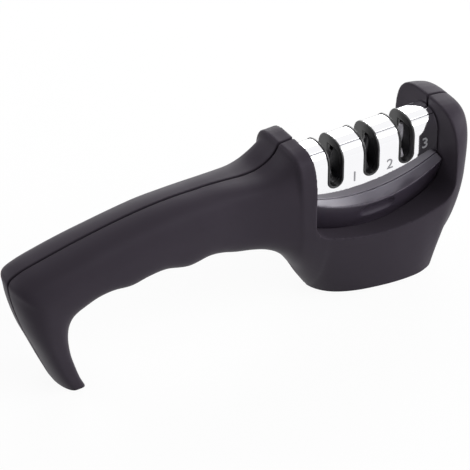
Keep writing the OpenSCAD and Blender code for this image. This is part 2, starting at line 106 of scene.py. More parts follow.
def circle(x, y, radius, steps=64):
    return [(x + radius * math.cos(2 * math.pi * k / steps),
             y + radius * math.sin(2 * math.pi * k / steps)) for k in range(steps)]


def applied(piece, kind, **settings):
    pickOnly(piece)
    bpy.ops.object.modifier_add(type=kind)
    modifier = piece.modifiers[-1]
    for key, value in settings.items():
        setattr(modifier, key, value)
    bpy.ops.object.modifier_apply(modifier=modifier.name)


def carve(piece, cutter, operation="DIFFERENCE", keep=False):
    applied(piece, "BOOLEAN", object=cutter, operation=operation, solver="MANIFOLD")
    if not keep:
        bpy.data.objects.remove(cutter)


def soften(piece, voxel, rounds):
    # even small quads over the whole skin, then relaxed, so that every edge gets round
    applied(piece, "REMESH", mode="VOXEL", voxel_size=voxel * mm, adaptivity=0)
    applied(piece, "SMOOTH", factor=0.5, iterations=rounds)


def smoothShade(piece, degrees):
    pickOnly(piece)
    bpy.ops.object.shade_smooth_by_angle(angle=math.radians(degrees))


def cadCopy(node, name):
    # a CAD node is loose triangles, so the corners of its copy are merged
    piece = cadNodes[node].copy()
    piece.data = cadNodes[node].data.copy()
    piece.parent = None
    for key in list(piece.keys()):
        if key.startswith("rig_"):
            del piece[key]
    piece.name = name
    piece.data.name = name
    bpy.context.scene.collection.objects.link(piece)
    openEdit(piece)
    bpy.ops.mesh.select_all(action="SELECT")
    bpy.ops.mesh.remove_doubles(threshold=0.000004)
    closeEdit()
    return piece


def coat(piece, material):
    piece.data.materials.clear()
    piece.data.materials.append(material)


def finishPiece(piece, body, material, slot, *nodes):
    coat(piece, material)
    if nodes:
        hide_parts(*nodes)
    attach(piece, body)


# ---- the body: handle, hook, head and post in one form ----

farAlong, farAcross = 400, 60  # cutters reach this far, well past the body
bodyForm = {"faceX": -33.8, "handleReach": 121.0, "handleWidth": 27.6, "headLength": 75.2,
            "headWidth": 44.0, "height": 71.8, "wall": 2.4, "beamShare": 0.606,
            "rimLift": 0.4, "railSpread": 0.09, "widestFrom": 0.4, "widestTo": 0.8,
            "stationSteps": 6, "ringSteps": 44, "skinVoxel": 0.47, "softRounds": 3,
            "shadeAngle": 40}
insideForm = {"stationSteps": 2, "ringSteps": 16, "mouthSteps": 6, "leastCrossing": 0.5,
              "hollowRings": (6, 79), "tongueRings": (4, 81)}
jointForm = {"width": 0.9, "depth": 1.0, "rows": (0.28, 0.5), "onFace": 0.02,
             "breaks": ((0.02, 0.2), (0.3, 0.05)), "tongueRoot": 0.3, "tongueFit": 0.02}
mouthForm = {"middle": -3.2, "length": 61.2, "floor": 29.3, "floorRadius": 80.0,
             "cornerRadius": 9.0, "steps": 12}
footForm = {"length": 53.8, "width": 33.4, "rim": 2.8, "top": 4.6, "widestShare": 0.575,
            "bowSquareness": 2.5, "steps": 96}
cartridgeForm = {"width": 30.0, "plugWidth": 22.0, "sideRadius": 95.0, "bottom": 20.0,
                 "flareStart": 30.0, "flareFull": 41.3, "smileHeight": 41.8,
                 "smileRadius": 68.0, "smileFall": 9.5, "wall": 1.8, "ledge": 38.5,
                 "plate": 2.6, "pocketGap": 0.35,
                 "dimpleHeight": 36.3, "dimpleLength": 17.0, "dimpleWidth": 7.0,
                 "dimpleRadius": 5.4, "screwIn": 8.0, "voxel": 0.34, "softRounds": 5,
                 "shadeAngle": 50}
screwForm = {"shaft": 2.6, "head": 5.0, "boss": 6.4, "seat": 5.0, "fit": 0.05,
             "shellLength": 12.0, "baseDepth": 8, "overcut": 0.05, "baseX": 14, "baseY": 6}

# stations: upper rail and lower rail as (distance, height) shares, then the half width share
handleShares = [
    (0.856, -0.050, 0.785, -0.050, 0.76), (0.880, 0.025, 0.804, 0.020, 0.78),
    (0.892, 0.074, 0.815, 0.067, 0.79), (0.913, 0.166, 0.828, 0.145, 0.81),
    (0.935, 0.267, 0.840, 0.233, 0.84), (0.967, 0.409, 0.844, 0.327, 0.90),
    (0.990, 0.548, 0.838, 0.398, 0.95), (1.002, 0.655, 0.822, 0.446, 0.97),
    (0.999, 0.716, 0.801, 0.474, 0.98), (0.959, 0.755, 0.770, 0.501, 1.00),
    (0.889, 0.784, 0.729, 0.527, 1.00), (0.794, 0.818, 0.683, 0.533, 1.00),
    (0.693, 0.849, 0.626, 0.518, 1.00), (0.597, 0.873, 0.568, 0.535, 0.99),
    (0.515, 0.887, 0.507, 0.538, 0.98), (0.433, 0.893, 0.427, 0.502, 0.97),
    (0.359, 0.891, 0.354, 0.516, 0.94), (0.297, 0.889, 0.305, 0.503, 0.92),
    (0.239, 0.881, 0.250, 0.470, 0.92), (0.188, 0.874, 0.194, 0.446, 0.96),
    (0.143, 0.878, 0.147, 0.418, 1.02), (0.104, 0.902, 0.105, 0.376, 1.09),
    (0.077, 0.934, 0.071, 0.325, 1.15), (0.062, 0.968, 0.050, 0.284, 1.19),
    (0.054, 0.993, 0.036, 0.253, 1.22)]
headShares = [
    (-0.055, 0.996, -0.012, 0.181, 0.782), (0.004, 1.000, 0.029, 0.100, 0.810),
    (0.053, 1.000, 0.067, 0.036, 0.832), (0.105, 1.000, 0.101, -0.025, 0.855),
    (0.198, 0.999, 0.198, -0.223, 0.891), (0.339, 0.996, 0.339, -0.500, 0.941),
    (0.499, 0.990, 0.499, -0.720, 0.980), (0.620, 0.985, 0.620, -0.720, 0.997),
    (0.713, 0.980, 0.713, -0.470, 1.000), (0.783, 0.976, 0.760, -0.190, 0.995),
    (0.834, 0.973, 0.790, -0.015, 0.970), (0.880, 0.967, 0.830, 0.075, 0.912),
    (0.920, 0.956, 0.868, 0.170, 0.815), (0.953, 0.926, 0.903, 0.280, 0.660),
    (0.977, 0.873, 0.935, 0.400, 0.500), (0.992, 0.806, 0.964, 0.522, 0.330),
    (0.999, 0.745, 0.989, 0.625, 0.160), (1.000, 0.718, 0.999, 0.675, 0.060)]
handleSquareness = [
    (1.8, 8), (1.8, 7.5), (2, 7), (2.3, 6), (2.5, 5), (2.5, 4), (2.4, 3.4),
    (2.3, 3.2), (2.8, 3.2), (2.6, 3.2), (2.6, 3.2), (2.6, 3.2), (2.6, 3.2), (2.6, 3.2),
    (2.7, 3.2), (2.8, 3.2), (3, 3.2), (3.2, 3.2), (3.8, 3.05), (4.3, 2.9), (5, 2.75),
    (4.9, 2.6), (4.3, 2.45), (3.7, 2.35), (4.8, 2.3)]
headSquareness = [
    (4.6, 2.1), (4.2, 1.9), (4, 1.8), (4, 1.7), (4, 1.65), (4, 1.6), (3.8, 1.6),
    (3.6, 1.6), (3.5, 1.6), (3.4, 1.7), (3.4, 1.8), (3.5, 1.9), (3.6, 1.9), (3.4, 1.9),
    (2.8, 2), (2.4, 2), (2.1, 2), (2, 2)]


def bodyStations():
    # a row: upper rail, lower rail, half width, share up at which it is widest, squareness
    form, rows = bodyForm, []
    for shares, squareness in zip(handleShares, handleSquareness):
        upBack, upHigh, lowBack, lowHigh, wide = shares
        rows.append((form["faceX"] - upBack * form["handleReach"], upHigh * form["height"],
                     form["faceX"] - lowBack * form["handleReach"], lowHigh * form["height"],
                     wide * form["handleWidth"] / 2, 0.5, *squareness))
    for shares, squareness in zip(headShares, headSquareness):
        upOn, upHigh, lowOn, lowHigh, wide = shares
        widest = (form["beamShare"] - lowHigh) / (upHigh - lowHigh)
        widest = min(max(widest, form["widestFrom"]), form["widestTo"])
        rows.append((form["faceX"] + upOn * form["headLength"], upHigh * form["height"],
                     form["faceX"] + lowOn * form["headLength"], lowHigh * form["height"],
                     wide * form["headWidth"] / 2, widest, *squareness))
    return rows


def betweenStations(rows, i, t):
    # a smooth curve through four stations, at the share t between the middle two
    a, b, c, d = (rows[min(max(i + k, 0), len(rows) - 1)] for k in (-1, 0, 1, 2))
    return tuple((2 * q + (r - p) * t + (2 * p - 5 * q + 4 * r - s) * t * t
                  + (3 * q - p - 3 * r + s) * t ** 3) / 2 for p, q, r, s in zip(a, b, c, d))


def refinedStations(rows, steps):
    fine = [betweenStations(rows, i, j / steps) for i in range(len(rows) - 1)
            for j in range(steps)]
    return fine + [rows[-1]]


def sectionRing(s, steps):
    half, spread = [], bodyForm["railSpread"]
    for k in range(steps + 1):
        # the angles are wider apart at the rails, where the squared section bunches its points
        u = k / steps
        a = math.radians(-90 + 180 * (u + spread * math.sin(2 * math.pi * u)))
        a = max(-math.pi / 2, min(math.pi / 2, a))
        power = s[6] if a > 0 else s[7]
        rise = abs(math.sin(a)) ** (2 / power)
        up = s[5] + (1 - s[5]) * rise if a > 0 else s[5] * (1 - rise)
        side = s[4] * max(0.0, math.cos(a)) ** (2 / power)
        half.append((s[2] + (s[0] - s[2]) * up, side, s[3] + (s[1] - s[3]) * up))
    return half + [(x, -y, z) for x, y, z in reversed(half[1:-1])]


def insetStation(rows, i, wall):
    # a rail that crosses its station at a slant is moved in by more than the wall
    s, before, after = rows[i], rows[i - 1], rows[i + 1]
    least = insideForm["leastCrossing"]
    reach = math.hypot(s[0] - s[2], s[1] - s[3])
    along = ((s[0] - s[2]) / reach, (s[1] - s[3]) / reach)

    def crossing(rail):
        dx, dz = after[rail] - before[rail], after[rail + 1] - before[rail + 1]
        return max(least, abs(dx * along[1] - dz * along[0]) / math.hypot(dx, dz))
    high, low = wall / crossing(0), wall / crossing(2)
    return (s[0] - along[0] * high, s[1] - along[1] * high,
            s[2] + along[0] * low, s[3] + along[1] * low, s[4] - wall, s[5], s[6], s[7])


def arcPoints(x, y, radius, start, end, steps):
    return [(x + radius * math.cos(math.radians(start + (end - start) * k / steps)),
             y + radius * math.sin(math.radians(start + (end - start) * k / steps)))
            for k in range(steps + 1)]


def mouthCutter(grow, steps):
    # two corner arcs and, one degree in from their ends, the long arc of the floor
    m = mouthForm
    cornerX = m["length"] / 2 - m["cornerRadius"]
    cornerZ = m["floor"] + m["floorRadius"] - math.sqrt(
        (m["floorRadius"] - m["cornerRadius"]) ** 2 - cornerX ** 2)
    turn = math.degrees(math.atan2(m["floor"] + m["floorRadius"] - cornerZ, cornerX))
    high = bodyForm["height"] + 2
    outline = [(-m["length"] / 2 - grow, high)]
    outline += arcPoints(-cornerX, cornerZ, m["cornerRadius"] + grow, 180, 180 + turn, steps)
    outline += arcPoints(0, m["floor"] + m["floorRadius"], m["floorRadius"] + grow,
                         181 + turn, 359 - turn, 4 * steps)
    outline += arcPoints(cornerX, cornerZ, m["cornerRadius"] + grow, 360 - turn, 360, steps)
    outline.append((m["length"] / 2 + grow, high))
    outline = [(x + m["middle"], z) for x, z in outline]
    return prism("mouthCutter", outline, "y", -bodyForm["headWidth"], bodyForm["headWidth"])


def cartridgeHalfWidth(z):
    c = cartridgeForm
    slope = (c["width"] - c["plugWidth"]) / 2 / (c["flareFull"] - c["flareStart"])
    return c["plugWidth"] / 2 + slope * max(0, z - c["flareStart"])


def bowedRing(half, halfLength, z):
    centre, steps = cartridgeForm["sideRadius"] - cartridgeForm["width"] / 2, 40
    xs = [-halfLength + 2 * halfLength * k / steps for k in range(steps + 1)]
    side = [(x + mouthForm["middle"], math.sqrt((centre + half) ** 2 - x * x) - centre, z)
            for x in xs]
    return side + [(x, -y, z) for x, y, z in reversed(side)]


def cartridgeBlock(name, grow, halfLength):
    c = cartridgeForm
    top = c["smileHeight"] + mouthForm["length"] / 4
    levels = [c["bottom"] - grow, c["flareStart"], c["flareFull"], top]
    return loftTube(name, [bowedRing(cartridgeHalfWidth(z) + grow, halfLength, z)
                           for z in levels])


def footRing(inset):
    f, steps = footForm, footForm["steps"]
    stern = f["length"] * f["widestShare"] - inset
    bow = f["length"] * (1 - f["widestShare"]) - inset
    middle = f["length"] * (f["widestShare"] - 0.5)
    points = []
    for k in range(steps):
        a = 2 * math.pi * k / steps
        power = f["bowSquareness"] if math.cos(a) > 0 else 2
        reach = bow if math.cos(a) > 0 else -stern
        points.append((middle + reach * abs(math.cos(a)) ** (2 / power),
                       (f["width"] / 2 - inset) * math.copysign(
                           abs(math.sin(a)) ** (2 / power), math.sin(a))))
    return points


def pinAcross(x, z, diameter, start, end):
    return prism("pinAcross", circle(x, z, diameter / 2), "y", start, end)


bossShares = {"rearBack": 0.74, "rearHigh": 0.66, "frontBack": 0.30, "frontHigh": 0.71,
              "mouthHigh": 0.62}
bossClear = bodyForm["wall"] + screwForm["boss"] / 2
boreWidth = screwForm["shaft"] + 2 * screwForm["fit"]
shellBosses = [
    (bodyForm["faceX"] - bossShares["rearBack"] * bodyForm["handleReach"],
     bossShares["rearHigh"] * bodyForm["height"]),
    (bodyForm["faceX"] - bossShares["frontBack"] * bodyForm["handleReach"],
     bossShares["frontHigh"] * bodyForm["height"]),
    (bodyForm["faceX"] - bossClear - screwForm["fit"],
     bossShares["mouthHigh"] * bodyForm["height"]),
    (bodyForm["faceX"] + mouthForm["length"] + bossClear,
     bossShares["mouthHigh"] * bodyForm["height"])]
baseBosses = [(x, y) for x in (-screwForm["baseX"], screwForm["baseX"])
              for y in (-screwForm["baseY"], screwForm["baseY"])]


def cutBelow(piece, name, reach, height):
    carve(piece, box(name, (-reach, -farAcross, -farAlong), (reach, farAcross, height)))


def cutFootRecess(piece, grow):
    carve(piece, prism("footRecess", footRing(footForm["rim"] - grow), "z", -1,
                       footForm["top"] + grow))


def wholeBody():
    stations = refinedStations(bodyStations(), bodyForm["stationSteps"])
    skin = loftTube("wholeBody", [sectionRing(s, bodyForm["ringSteps"]) for s in stations])
    carve(skin, mouthCutter(0, mouthForm["steps"]))
    carve(skin, cartridgeBlock("pocket", cartridgeForm["pocketGap"],
                               mouthForm["length"] / 2 - screwForm["fit"]))
    soften(skin, bodyForm["skinVoxel"], bodyForm["softRounds"])
    cutBelow(skin, "underTable", farAlong, 0)
    cutBelow(skin, "underRim", footForm["length"], bodyForm["rimLift"])
    cutFootRecess(skin, 0)
    return skin


def insetBody(name, wall, rings):
    rows = refinedStations(bodyStations(), insideForm["stationSteps"])
    inner = loftTube(name, [sectionRing(insetStation(rows, i, wall), insideForm["ringSteps"])
                            for i in range(*rings)])
    carve(inner, mouthCutter(wall, insideForm["mouthSteps"]))
    carve(inner, cartridgeBlock("pocketWall", cartridgeForm["pocketGap"] + wall,
                                mouthForm["length"] / 2 - screwForm["fit"] + wall))
    return inner


def bodyHollow():
    inner = insetBody("bodyHollow", bodyForm["wall"], insideForm["hollowRings"])
    for x, z in shellBosses:
        carve(inner, pinAcross(x, z, screwForm["boss"], -farAcross, farAcross))
    for x, y in baseBosses:
        carve(inner, prism("baseBoss", circle(x, y, screwForm["boss"] / 2, 32), "z", 0,
                           cartridgeForm["bottom"]))
    return inner


def jointTongue():
    # a lip of the near half stands behind the joint line, so no light comes through it
    edge, far = jointForm["width"] / 2, farAlong
    tongue = insetBody("jointTongue", jointForm["depth"], insideForm["tongueRings"])
    carve(tongue, box("pastTongue", (-far, edge - jointForm["tongueFit"], -far),
                      (far, farAcross, far)))
    carve(tongue, box("beforeTongue", (-far, -farAcross, -far),
                      (far, -edge - jointForm["tongueRoot"], far)))
    cutBelow(tongue, "underTable", far, jointForm["depth"])
    cutFootRecess(tongue, jointForm["depth"])
    return tongue


def halfShell(name, whole, side):
    # side is -1 for the near half and 1 for the far half
    shell = whole.copy()
    shell.data = whole.data.copy()
    shell.name = name
    bpy.context.scene.collection.objects.link(shell)
    gap, exact = jointForm["width"] / 2 * mm, 0.000001
    openEdit(shell, "VERT")
    bpy.ops.mesh.select_all(action="SELECT")
    bpy.ops.mesh.bisect(plane_co=(0, side * gap, 0), plane_no=(0, side, 0), clear_inner=True,
                        threshold=exact)
    for step in jointForm["rows"]:
        bpy.ops.mesh.select_all(action="SELECT")
        bpy.ops.mesh.bisect(plane_co=(0, side * (gap + step * mm), 0), plane_no=(0, side, 0),
                            threshold=exact)
    # the edge of each half is broken a little, which makes the fine dark joint line
    for reach, depth in jointForm["breaks"]:
        shape = bmesh.from_edit_mesh(shell.data)
        for vert in shape.verts:
            vert.select_set(abs(vert.co.y) < gap + reach * mm)
        bmesh.update_edit_mesh(shell.data)
        bpy.ops.transform.shrink_fatten(value=-depth * mm)
    shape = bmesh.from_edit_mesh(shell.data)
    for vert in shape.verts:
        if abs(vert.co.y) < gap + jointForm["onFace"] * mm:
            vert.co.y = side * gap
    # the open end of the half is closed with a flat face
    bpy.ops.mesh.select_mode(type="EDGE")
    bpy.ops.mesh.select_all(action="DESELECT")
    bpy.ops.mesh.select_non_manifold()
    bpy.ops.mesh.edge_face_add()
    bpy.ops.mesh.select_all(action="SELECT")
    bpy.ops.mesh.normals_make_consistent(inside=False)
    closeEdit()
    return shell


wholeSkin = wholeBody()
print("body skin:", len(wholeSkin.data.polygons), "faces")
nearShell = halfShell("nearShell", wholeSkin, -1)
farShell = halfShell("farShell", wholeSkin, 1)
bpy.data.objects.remove(wholeSkin)
carve(nearShell, jointTongue(), operation="UNION")
hollowForm = bodyHollow()
for shell in (nearShell, farShell):
    carve(shell, hollowForm, keep=True)
bpy.data.objects.remove(hollowForm)
for x, z in shellBosses:
    # the near half holds the point of each screw, and the far half its head
    screwPoint = screwForm["seat"] - screwForm["shellLength"] - screwForm["overcut"]
    carve(nearShell, pinAcross(x, z, boreWidth, screwPoint, 1))
    carve(farShell, pinAcross(x, z, boreWidth, -1, screwForm["seat"] + screwForm["overcut"]))
    carve(farShell, pinAcross(x, z, screwForm["head"] + 2 * screwForm["fit"],
                              screwForm["seat"], farAcross))
for x, y in baseBosses:
    boreLow, boreHigh = (footForm["top"] - screwForm["overcut"],
                         footForm["top"] + screwForm["baseDepth"])
    carve(nearShell if y < 0 else farShell,
          prism("baseBore", circle(x, y, boreWidth / 2, 32), "z", boreLow, boreHigh))
for shell in (nearShell, farShell):
    smoothShade(shell, bodyForm["shadeAngle"])
    print(shell.name, len(shell.data.polygons), "faces")


# ---- the cartridge: black housing, bright cover, slot frame, rods and blades ----

coverForm = {"height": 65.7, "width": 16.5, "footWidth": 16.8, "wall": 1.1, "shoulder": 7.0,
             "creaseWidth": 9.8, "crownRise": 1.0, "creaseGroove": 0.24, "arcSteps": 24,
             "edgeRound": 0.18, "edgeSteps": 3, "edgeAngle": 50, "shadeAngle": 12}
numeralForm = {"beside": 8.6, "height": 48.0, "size": 6.4, "raise": 0.09}
slotForm = {"pitch": 16.2, "back": 0.3, "width": 7.2, "bottom": 48.4,
            "voxel": 0.26, "softRounds": 2, "shadeAngle": 50}
slotMiddles = [mouthForm["middle"] - slotForm["back"] + i * slotForm["pitch"]
               for i in (-1, 0, 1)]
aboveAll = 90  # cutters that are open at the top end this high
cartridgeLength = mouthForm["length"] - 2 * cartridgeForm["pocketGap"]


def smileCutter(side):
    # the curved top edge beside the cover is one tilted round cut on each side
    c, steps, outwards = cartridgeForm, 360, 30
    half, turn = coverForm["footWidth"] / 2, math.radians(c["smileFall"])
    rings = []
    for depth in (0, outwards):
        rings.append([(x + mouthForm["middle"],
                       side * (half + depth * math.cos(turn) - z * math.sin(turn)),
                       c["smileHeight"] - depth * math.sin(turn) + z * math.cos(turn))
                      for x, z in circle(0, c["smileRadius"], c["smileRadius"], steps)])
    return loftTube("smileCutter", rings)


def dimpleCutter(side):
    # a ball drawn out along the housing, set so far in that the dimple gets its width
    c, slices, least = cartridgeForm, 24, 0.02
    slope = (c["width"] - c["plugWidth"]) / 2 / (c["flareFull"] - c["flareStart"])
    lean = math.atan(slope)
    reach = math.sqrt(c["dimpleRadius"] ** 2 - (c["dimpleWidth"] / 2) ** 2)
    y = side * (cartridgeHalfWidth(c["dimpleHeight"]) + reach * math.cos(lean))
    z = c["dimpleHeight"] - reach * math.sin(lean)
    half = c["dimpleLength"] / 2 - c["dimpleWidth"] / 2
    rings = []
    for k in range(slices + 1):
        a = math.pi * k / slices
        x = mouthForm["middle"] - math.cos(a) * c["dimpleRadius"] + (
            -half if 2 * k < slices else half if 2 * k > slices else 0)
        radius = max(least, math.sin(a) * c["dimpleRadius"])
        rings.append([(x, p, q) for p, q in circle(y, z, radius, 48)])
    return loftTube("dimpleCutter", rings)


def housingPiece():
    c = cartridgeForm
    half = cartridgeLength / 2
    housing = cartridgeBlock("cartridgeHousing", 0, half)
    for side in (-1, 1):
        carve(housing, smileCutter(side))
        carve(housing, dimpleCutter(side))
    hole, pastEnds = coverForm["footWidth"] / 2 + screwForm["fit"], 40
    carve(housing, box("coverHole", (mouthForm["middle"] - pastEnds, -hole, c["ledge"]),
                       (mouthForm["middle"] + pastEnds, hole, aboveAll)))
    hollow = [bowedRing(c["plugWidth"] / 2 - c["wall"], half - c["wall"], z)
              for z in (c["bottom"] - 1, c["ledge"] + 0.01)]
    inner = loftTube("housingHollow", hollow)
    screwReach, low = half - c["screwIn"], c["bottom"] + c["plate"]
    pastLedge, pastSides = 50, 30
    for x in (mouthForm["middle"] - screwReach, mouthForm["middle"] + screwReach):
        carve(inner, prism("housingBoss", circle(x, 0, screwForm["boss"] / 2, 48), "z",
                           low, pastLedge))
        carve(inner, box("housingRib", (x - c["wall"] / 2, -pastSides, low),
                         (x + c["wall"] / 2, pastSides, pastLedge)))
    carve(housing, inner)
    soften(housing, c["voxel"], c["softRounds"])
    smoothShade(housing, c["shadeAngle"])
    return housing


def coverOutline(grow):
    # straight flanks, a round shoulder up to each crease, and a flatter crown between them
    c, steps = coverForm, coverForm["arcSteps"]
    shoulderY = c["width"] / 2 - c["shoulder"]
    creaseHeight = c["height"] - c["crownRise"]
    shoulderHeight = creaseHeight - math.sqrt(
        c["shoulder"] ** 2 - (c["creaseWidth"] / 2 - shoulderY) ** 2)
    crownRadius = ((c["creaseWidth"] / 2) ** 2 + c["crownRise"] ** 2) / (2 * c["crownRise"])
    crownCentre = c["height"] - crownRadius
    shoulder, crown = c["shoulder"] + grow, crownRadius + grow
    # the crease lies where the grown shoulder meets the grown crown
    dy, dz = shoulderY, shoulderHeight - crownCentre
    apart = math.hypot(dy, dz)
    along = (crown ** 2 - shoulder ** 2 + apart ** 2) / (2 * apart)
    across = math.sqrt(max(0.0, crown ** 2 - along ** 2))
    creaseY = along * dy / apart + across * dz / apart
    creaseZ = crownCentre + along * dz / apart - across * dy / apart
    turn = math.degrees(math.atan2(creaseZ - shoulderHeight, creaseY - shoulderY))
    crease = math.degrees(math.atan2(creaseZ - crownCentre, creaseY))
    side = [(c["footWidth"] / 2 + grow, cartridgeForm["ledge"])]
    if grow:
        side += arcPoints(shoulderY, shoulderHeight, shoulder, 0, turn, steps)
        side += arcPoints(0, crownCentre, crown, crease, 90, steps)[1:]
    else:  # a fine rolled groove runs along the crease of the outside
        groove = c["creaseGroove"]
        side += arcPoints(shoulderY, shoulderHeight, shoulder, 0,
                          turn - math.degrees(groove / shoulder), steps)
        side.append((creaseY - groove * math.cos(math.radians(turn)),
                     creaseZ - groove * math.sin(math.radians(turn))))
        side += arcPoints(0, crownCentre, crown,
                          crease + math.degrees(groove / crown), 90, steps)
    return side + [(-y, z) for y, z in reversed(side[:-1])]


def coverBar(name, grow, length, drop=0.0):
    # the drop opens the foot of the inside downwards
    outline = [(y, z - (drop if z == cartridgeForm["ledge"] else 0))
               for y, z in coverOutline(grow)]
    middle = mouthForm["middle"]
    return prism(name, outline, "x", middle - length / 2, middle + length / 2)


def slotCutter(x):
    half, pastSides = slotForm["width"] / 2, 30
    outline = [(x - half, aboveAll)]
    outline += arcPoints(x, slotForm["bottom"] + half, half, 180, 360, 32)
    outline.append((x + half, aboveAll))
    return prism("slotCutter", outline, "y", -pastSides, pastSides)


def coverPiece():
    c = coverForm
    cover = coverBar("chromeCover", 0, cartridgeLength)
    carve(cover, coverBar("coverInside", -c["wall"], cartridgeLength - 2 * c["wall"], 1))
    for x in slotMiddles:
        carve(cover, slotCutter(x))
    applied(cover, "BEVEL", width=c["edgeRound"] * mm, segments=c["edgeSteps"],
            limit_method="ANGLE", angle_limit=math.radians(c["edgeAngle"]))
    smoothShade(cover, c["shadeAngle"])
    return cover


def slotNumerals():
    # a small raised numeral low on the near flank, to the right of each slot
    form, pieces = numeralForm, []
    for count, x in enumerate(slotMiddles, 1):
        bpy.ops.object.select_all(action="DESELECT")
        # the row follows the curved edge of the housing
        place = x + form["beside"]
        rise = (place - mouthForm["middle"]) ** 2 / (2 * cartridgeForm["smileRadius"])
        bpy.ops.object.text_add(location=(place * mm,
                                          (-coverForm["width"] / 2 - form["raise"]) * mm,
                                          (form["height"] + rise) * mm),
                                rotation=(math.pi / 2, 0, 0))
        numeral = bpy.context.object
        numeral.data.body = str(count)
        numeral.data.size = form["size"] * mm
        numeral.data.extrude = form["raise"] * mm
        numeral.data.align_x = "CENTER"
        bpy.ops.object.convert(target="MESH")
        bpy.ops.object.transform_apply(location=True, rotation=True, scale=True)
        pieces.append(bpy.context.object)
    pickOnly(pieces[0])
    for piece in pieces[1:]:
        piece.select_set(True)
    bpy.ops.object.join()
    pieces[0].name = "slotNumerals"
    return pieces[0]


def slotFramePiece():
    piece = cadCopy("slot_frame", "slotFrame")
    soften(piece, slotForm["voxel"], slotForm["softRounds"])
    smoothShade(piece, slotForm["shadeAngle"])
    return piece


housingShape = housingPiece()
print("cartridge housing:", len(housingShape.data.polygons), "faces")
coverShape = coverPiece()
print("cover:", len(coverShape.data.polygons), "faces")
numeralShape = slotNumerals()
frameShape = slotFramePiece()
print("slot frame:", len(frameShape.data.polygons), "faces")


# ---- finishes ----

def makeGroup(name, inputs, outputs):
    group = bpy.data.node_groups.new(name, "ShaderNodeTree")
    for label, kind, value in inputs:
        socket = group.interface.new_socket(label, in_out="INPUT", socket_type=kind)
        if value is not None:
            socket.default_value = value
    for label, kind in outputs:
        group.interface.new_socket(label, in_out="OUTPUT", socket_type=kind)
    return group, group.nodes.new("NodeGroupInput"), group.nodes.new("NodeGroupOutput")


def noiseNode(tree, scale=None, detail=3.0, roughness=0.5):
    noise = tree.nodes.new("ShaderNodeTexNoise")
    noise.inputs["Detail"].default_value = detail
    noise.inputs["Roughness"].default_value = roughness
    if scale is not None:
        noise.inputs["Scale"].default_value = scale
    return noise


def mathNode(tree, operation, a=None, b=None):
    node = tree.nodes.new("ShaderNodeMath")
    node.operation = operation
    for socket, value in zip(node.inputs, (a, b)):
        if isinstance(value, (int, float)):
            socket.default_value = value
        elif value is not None:
            tree.links.new(value, socket)
    return node.outputs[0]


grainMake = {"fineShare": 0.4, "patchScale": 45, "pitWeight": 0.7, "fineWeight": 0.5}
sheenMake = {"wipeStretch": (0.35, 1.0, 1.0), "wipeShare": 6.0, "wipeWeight": 0.6}


def mouldedGrain():
    # fine spark-erosion grain of a moulded skin: small pits, a little uneven below them
    tree, given, out = makeGroup("mouldedGrain", [
        ("Grain Size", "NodeSocketFloat", 3000.0), ("Unevenness", "NodeSocketFloat", 0.3)],
        [("Height", "NodeSocketFloat"), ("Patch", "NodeSocketFloat")])
    place = tree.nodes.new("ShaderNodeTexCoord")
    pits = tree.nodes.new("ShaderNodeTexVoronoi")
    pits.feature = "F1"
    fine, wide = noiseNode(tree, detail=2), noiseNode(tree, grainMake["patchScale"], 2)
    for node in (pits, fine, wide):
        tree.links.new(place.outputs["Object"], node.inputs["Vector"])
    tree.links.new(given.outputs["Grain Size"], pits.inputs["Scale"])
    fineSize = mathNode(tree, "MULTIPLY", given.outputs["Grain Size"], grainMake["fineShare"])
    tree.links.new(fineSize, fine.inputs["Scale"])
    uneven = mathNode(tree, "MULTIPLY", wide.outputs["Fac"], given.outputs["Unevenness"])
    pitPart = mathNode(tree, "MULTIPLY", pits.outputs["Distance"], grainMake["pitWeight"])
    finePart = mathNode(tree, "MULTIPLY", fine.outputs["Fac"], grainMake["fineWeight"])
    tree.links.new(mathNode(tree, "ADD", pitPart, finePart), out.inputs["Height"])
    tree.links.new(uneven, out.inputs["Patch"])
    return tree


def handlingSheen():
    # where hands and cloths have been: slow changes of roughness with a few faint wipe marks
    tree, given, out = makeGroup("handlingSheen", [
        ("Roughness", "NodeSocketFloat", 0.4), ("Amount", "NodeSocketFloat", 0.05),
        ("Size", "NodeSocketFloat", 40.0)], [("Roughness", "NodeSocketFloat")])
    place = tree.nodes.new("ShaderNodeTexCoord")
    stretch = tree.nodes.new("ShaderNodeMapping")
    stretch.inputs["Scale"].default_value = sheenMake["wipeStretch"]
    patches, wipes = noiseNode(tree, detail=3), noiseNode(tree, detail=6, roughness=0.7)
    tree.links.new(place.outputs["Object"], patches.inputs["Vector"])
    tree.links.new(place.outputs["Object"], stretch.inputs["Vector"])
    tree.links.new(stretch.outputs["Vector"], wipes.inputs["Vector"])
    tree.links.new(given.outputs["Size"], patches.inputs["Scale"])
    tree.links.new(mathNode(tree, "MULTIPLY", given.outputs["Size"], sheenMake["wipeShare"]),
                   wipes.inputs["Scale"])
    # both noises swing about zero, so the given roughness stays the middle value
    patchSwing = mathNode(tree, "SUBTRACT", patches.outputs["Fac"], 0.5)
    wipeSwing = mathNode(tree, "SUBTRACT", wipes.outputs["Fac"], 0.5)
    wipeSwing = mathNode(tree, "MULTIPLY", wipeSwing, sheenMake["wipeWeight"])
    swing = mathNode(tree, "ADD", patchSwing, wipeSwing)
    rough = mathNode(tree, "ADD", given.outputs["Roughness"],
                     mathNode(tree, "MULTIPLY", swing, given.outputs["Amount"]))
    tree.links.new(rough, out.inputs["Roughness"])
    return tree


